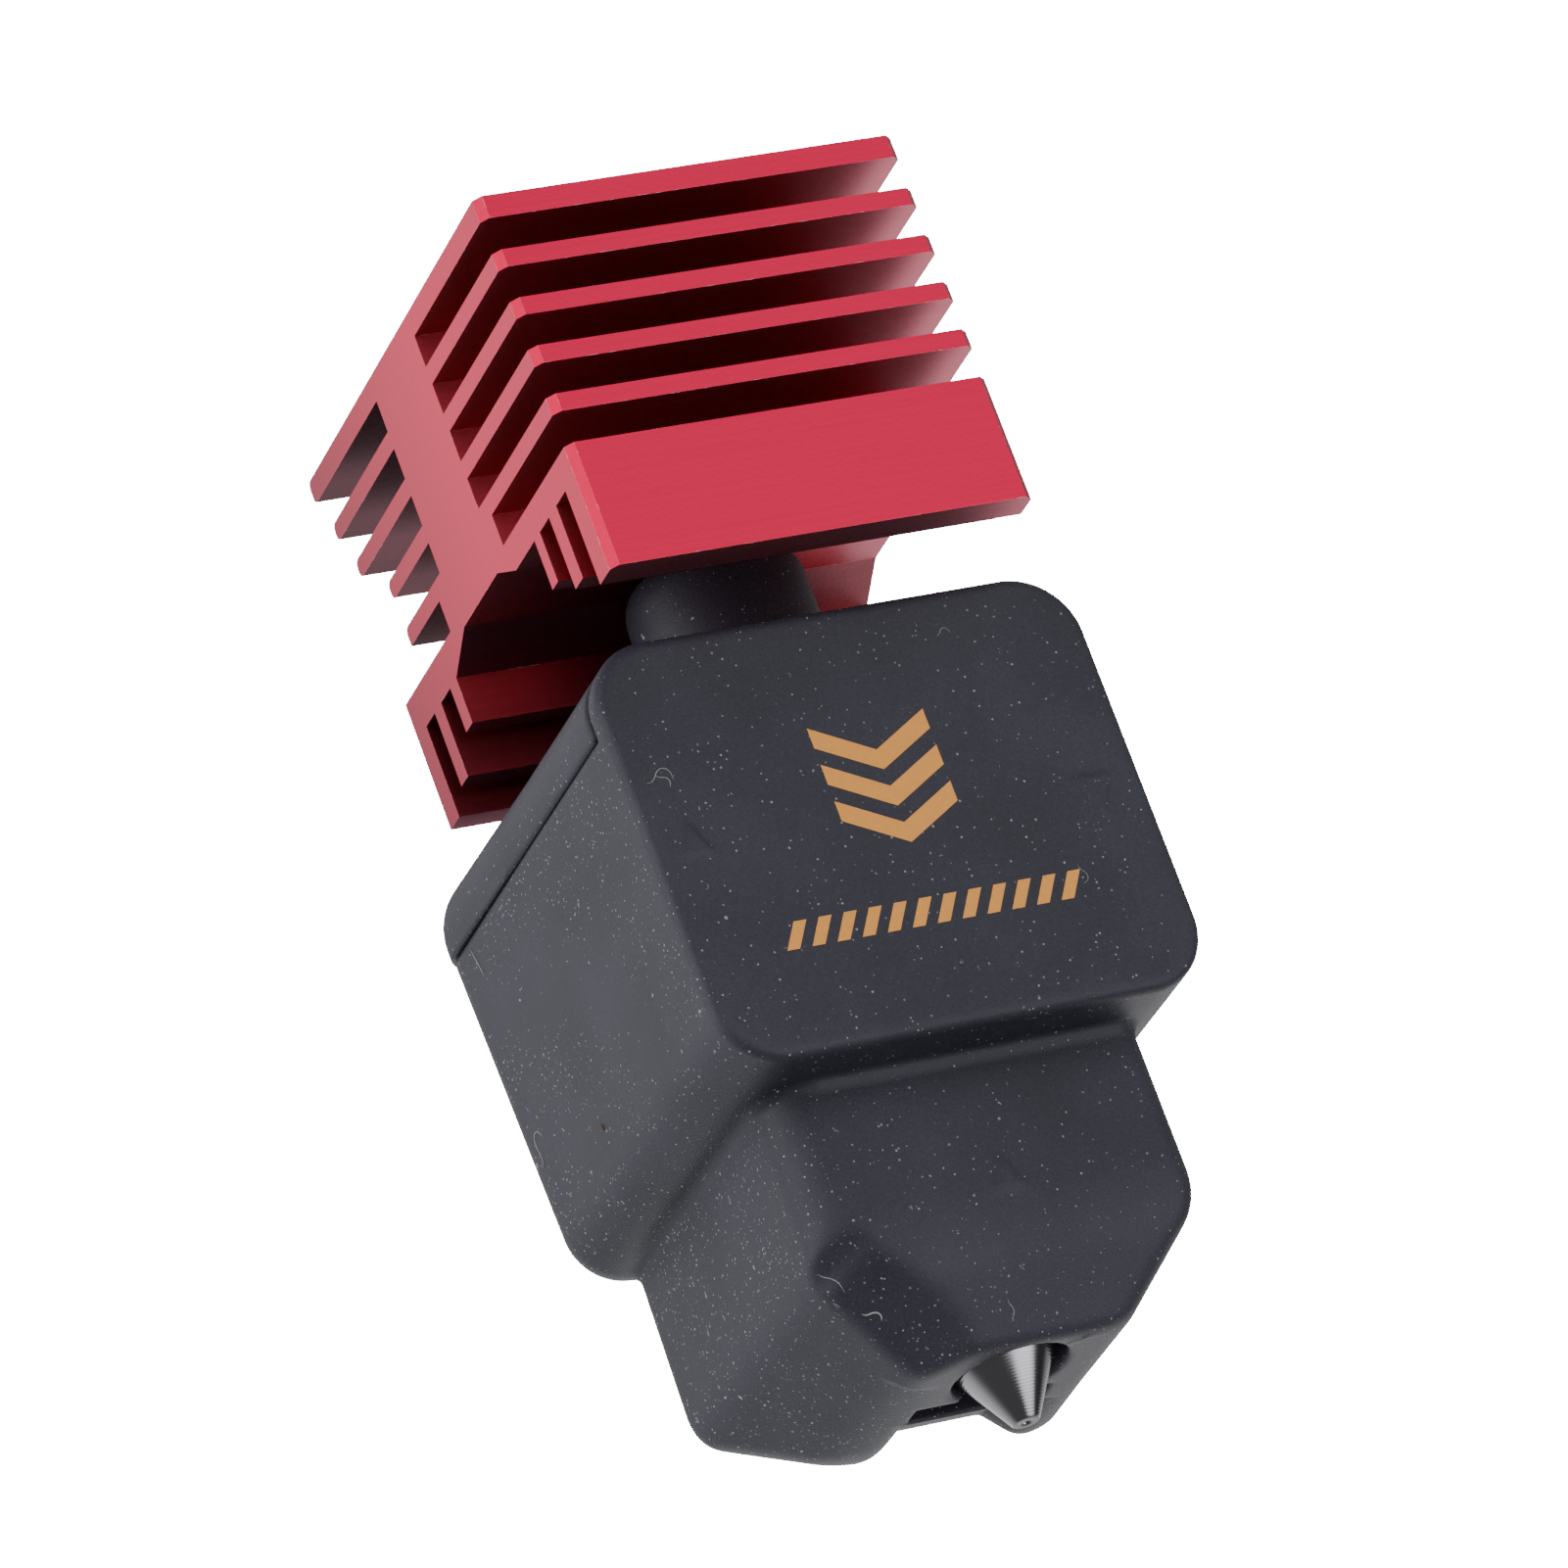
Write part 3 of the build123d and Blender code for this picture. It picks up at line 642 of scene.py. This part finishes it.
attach(lint, "sock")
speck = tubes("brown_speck", [fibre((-11.5, 5.1, -35.4), (0, 0, -1), 0.1, 0.35, 0.07)], SPECK)
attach(speck, "sock")


# --- heatsink -----------------------------------------------------------------------
REDS = (RED, RED_EDGE_GLINT, RED_BEHIND_SHADE, RED_UNDER_SHADE, RED_REAR_SHADE)
WORN_GLINT = REDS.index(RED_EDGE_GLINT)
BEVEL = 0.07
BEHIND = 0.3                       # how far behind the front the reds with painted shade begin
FEET = -11.5                       # every fin lies above this


def red_behind(normal, middle):
    """Which red a face behind the front has, as painted shade: undersides are darker, most of all under the
    rear fins.
    """
    if normal.z > -0.5:
        return RED_BEHIND_SHADE
    return RED_UNDER_SHADE if middle.y < 0 or middle.z < FEET * MM else RED_REAR_SHADE


def heatsink_piece():
    """The extrusion again, with every sharp edge broken by a narrow worn bevel that carries a painted glint,
    and painted shade on the faces behind the front.
    """
    b = bmesh.new()
    b.from_mesh(frame["nodes"]["heatsink"].data)
    bmesh.ops.remove_doubles(b, verts=b.verts, dist=1e-6)
    bmesh.ops.dissolve_limit(b, angle_limit=math.radians(1), verts=b.verts, edges=b.edges)
    sharp = [e for e in b.edges if len(e.link_faces) == 2 and e.calc_face_angle() > math.radians(25)]
    bmesh.ops.bevel(b, geom=sharp, offset=BEVEL * MM, segments=2, affect="EDGES", profile=0.5,
                    clamp_overlap=True, material=WORN_GLINT)
    front = min(v.co.y for v in b.verts)
    for face in b.faces:
        middle = face.calc_center_median()
        if face.material_index != WORN_GLINT and abs(face.normal.x) < 0.5 and middle.y > front + BEHIND * MM:
            face.material_index = REDS.index(red_behind(face.normal, middle))
    mesh = bpy.data.meshes.new("heatsink_look")
    for material in REDS:
        mesh.materials.append(material)
    b.to_mesh(mesh)
    b.free()
    obj = bpy.data.objects.new("heatsink_look", mesh)
    bpy.context.scene.collection.objects.link(obj)
    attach(obj, "heatsink")
    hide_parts("heatsink")


heatsink_piece()


# --- nozzle -------------------------------------------------------------------------
def lathe(name, profile, material, steps=128):
    """A closed profile of (radius, height) turned about the filament axis."""
    verts = []
    faces = []
    for i in range(steps):
        a = 2 * math.pi * i / steps
        verts += [(r * math.cos(a), r * math.sin(a), z) for r, z in profile]
    n = len(profile)
    for i in range(steps):
        j = (i + 1) % steps
        faces += [(i * n + k, i * n + (k + 1) % n, j * n + (k + 1) % n, j * n + k) for k in range(n)]
    return mesh_object(name, verts, faces, material)


tip = nozzle_low[2] / MM
turned = [
    (ORIFICE_R, tip + 0.8), (ORIFICE_R, tip + 0.03), (ORIFICE_R + 0.03, tip),
    (0.56, tip), (0.6, tip + 0.015), (0.64, tip + 0.05),
    (CONE_R - 0.06, CONE_TOP - 0.23), (CONE_R - 0.01, CONE_TOP - 0.12), (CONE_R, CONE_TOP), (CONE_R, HEX_LOW),
    (THREAD_R, HEX_HIGH + 0.1), (THREAD_R, THREAD_TOP - 0.4), (THREAD_R - 0.4, THREAD_TOP),
    (BORE_R, THREAD_TOP), (BORE_R, tip + 2.2),
]
cone = lathe("nozzle_turned", turned, STEEL)
cone.data.materials.append(BURNT)
for face in cone.data.polygons:
    if face.center.z < (tip + 0.02) * MM:
        face.material_index = 1
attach(cone, "nozzle")
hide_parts("nozzle")
flats = [(CONE_R, HEX_HIGH), (HEX_R, HEX_HIGH), (HEX_R, HEX_LOW), (CONE_R, HEX_LOW)]
hexagon = lathe("nozzle_hexagon", flats, STEEL, 6)
hexagon.data.polygons.foreach_set("use_smooth", [False] * len(hexagon.data.polygons))
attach(hexagon, "nozzle")


# --- the pieces that stay inside, in their own finishes -----------------------------
for part in frame["record"]["subparts"]:
    node = frame["nodes"][part["node"]]
    finish = INNER.get(part["material_slot"])
    if finish:
        node.data.materials.clear()
        node.data.materials.append(finish)


# --- floor, light and camera --------------------------------------------------------
FLOOR_HALF = 4.0
FLOOR_DROP = 0.35
low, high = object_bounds()
corners = [(x, y, low.z - FLOOR_DROP) for x, y in ((-1, -1), (1, -1), (1, 1), (-1, 1))]
floor_mesh = bpy.data.meshes.new("floor")
floor_mesh.from_pydata([(x * FLOOR_HALF, y * FLOOR_HALF, z) for x, y, z in corners], [], [(0, 1, 2, 3)])
floor_mesh.materials.append(grained_material("floor", (0.86, 0.86, 0.86), 0.0, 0.9, 300.0, 0.02))
floor = bpy.data.objects.new("floor", floor_mesh)
bpy.context.scene.collection.objects.link(floor)
floor.visible_glossy = False

# The camera looks up at the object from the front left, as a person would who holds it tip down.
CAMERA_AT = Vector((-204.8, -395.24, -196.56)) * MM
AHEAD = Vector((0.42876, 0.82764, 0.36219))
UPWARDS = Vector((0.15801, -0.46343, 0.87193))
ahead = AHEAD.normalized()
right = ahead.cross(UPWARDS).normalized()
upwards = right.cross(ahead)
camera_data = bpy.data.cameras.new("camera")
camera_data.lens = 255.62
camera_data.sensor_width = 36.0
camera = bpy.data.objects.new("camera", camera_data)
camera.matrix_world = Matrix((
    (right.x, upwards.x, -ahead.x, CAMERA_AT.x),
    (right.y, upwards.y, -ahead.y, CAMERA_AT.y),
    (right.z, upwards.z, -ahead.z, CAMERA_AT.z),
    (0, 0, 0, 1),
))
bpy.context.scene.collection.objects.link(camera)
bpy.context.scene.camera = camera
centre = (low + high) / 2


def softbox(name, side, height, back, size, power):
    """A square lamp, placed from the object's middle along the camera's right, up and back directions."""
    data = bpy.data.lights.new(name, "AREA")
    data.shape = "SQUARE"
    data.size = size
    data.energy = power
    lamp = bpy.data.objects.new(name, data)
    at = centre + right * side + upwards * height - ahead * back
    lamp.location = at
    lamp.rotation_euler = (centre - at).to_track_quat("-Z", "Y").to_euler()
    lamp.visible_camera = False
    bpy.context.scene.collection.objects.link(lamp)


def studio_world(glows, base, sheet):
    """Soft light whose strength depends on its direction, and a plain white sheet as the backdrop."""
    world = bpy.data.worlds.new("studio")
    world.use_nodes = True
    tree = world.node_tree
    background = tree.nodes["Background"]
    background.inputs["Color"].default_value = (1.0, 1.0, 1.0, 1.0)
    way = tree.nodes.new("ShaderNodeTexCoord").outputs["Generated"]
    total = None
    for axis, start, full, strength in glows:
        facing = tree.nodes.new("ShaderNodeVectorMath")
        facing.operation = "DOT_PRODUCT"
        facing.inputs[1].default_value = axis.normalized()
        tree.links.new(way, facing.inputs[0])
        ramp = tree.nodes.new("ShaderNodeMapRange")
        ramp.interpolation_type = "SMOOTHSTEP"
        for key, value in {1: start, 2: full, 3: 0.0, 4: strength}.items():
            ramp.inputs[key].default_value = value
        tree.links.new(facing.outputs["Value"], ramp.inputs[0])
        plus = tree.nodes.new("ShaderNodeMath")
        plus.inputs[0].default_value = base
        if total:
            tree.links.new(total, plus.inputs[0])
        tree.links.new(ramp.outputs[0], plus.inputs[1])
        total = plus.outputs[0]
    seen = tree.nodes.new("ShaderNodeLightPath").outputs["Is Camera Ray"]
    choice = tree.nodes.new("ShaderNodeMix")
    choice.inputs[3].default_value = sheet
    tree.links.new(seen, choice.inputs[0])
    tree.links.new(total, choice.inputs[2])
    tree.links.new(choice.outputs[0], background.inputs["Strength"])
    bpy.context.scene.world = world


# Each glow: where it comes from, the cosines where it starts and is full, and its strength, which may darken.
GLOWS = (
    (ahead * 0.63 - right * 0.76 - upwards * 0.13, 0.50, 0.95, 0.44),
    (right * 0.62 + upwards * 0.40 - ahead * 0.68, 0.62, 0.90, 1.10),
    (right * 0.30 - upwards * 0.70 + ahead * 0.65, 0.72, 0.97, 1.6),
    (right * 0.80 - upwards * 0.13 - ahead * 0.59, 0.86, 0.96, 1.7),
    (upwards * 0.38 - right * 0.72 - ahead * 0.58, 0.80, 0.96, 1.6),
    (-right * 0.25 - upwards * 0.55 - ahead * 0.80, 0.15, 0.80, -0.28),
    (-right * 0.45 - upwards * 0.75 + ahead * 0.48, 0.60, 0.95, 0.45),
    (right * 0.97 - upwards * 0.07 + ahead * 0.13, 0.88, 0.98, -0.36),
    (ahead, 0.90, 0.97, -0.4),
)
studio_world(GLOWS, base=0.42, sheet=20.0)
softbox("key", -0.60, -0.05, 0.15, 0.40, 1.5)
softbox("kicker", -0.091, 0.012, -0.060, 0.04, 0.0025)
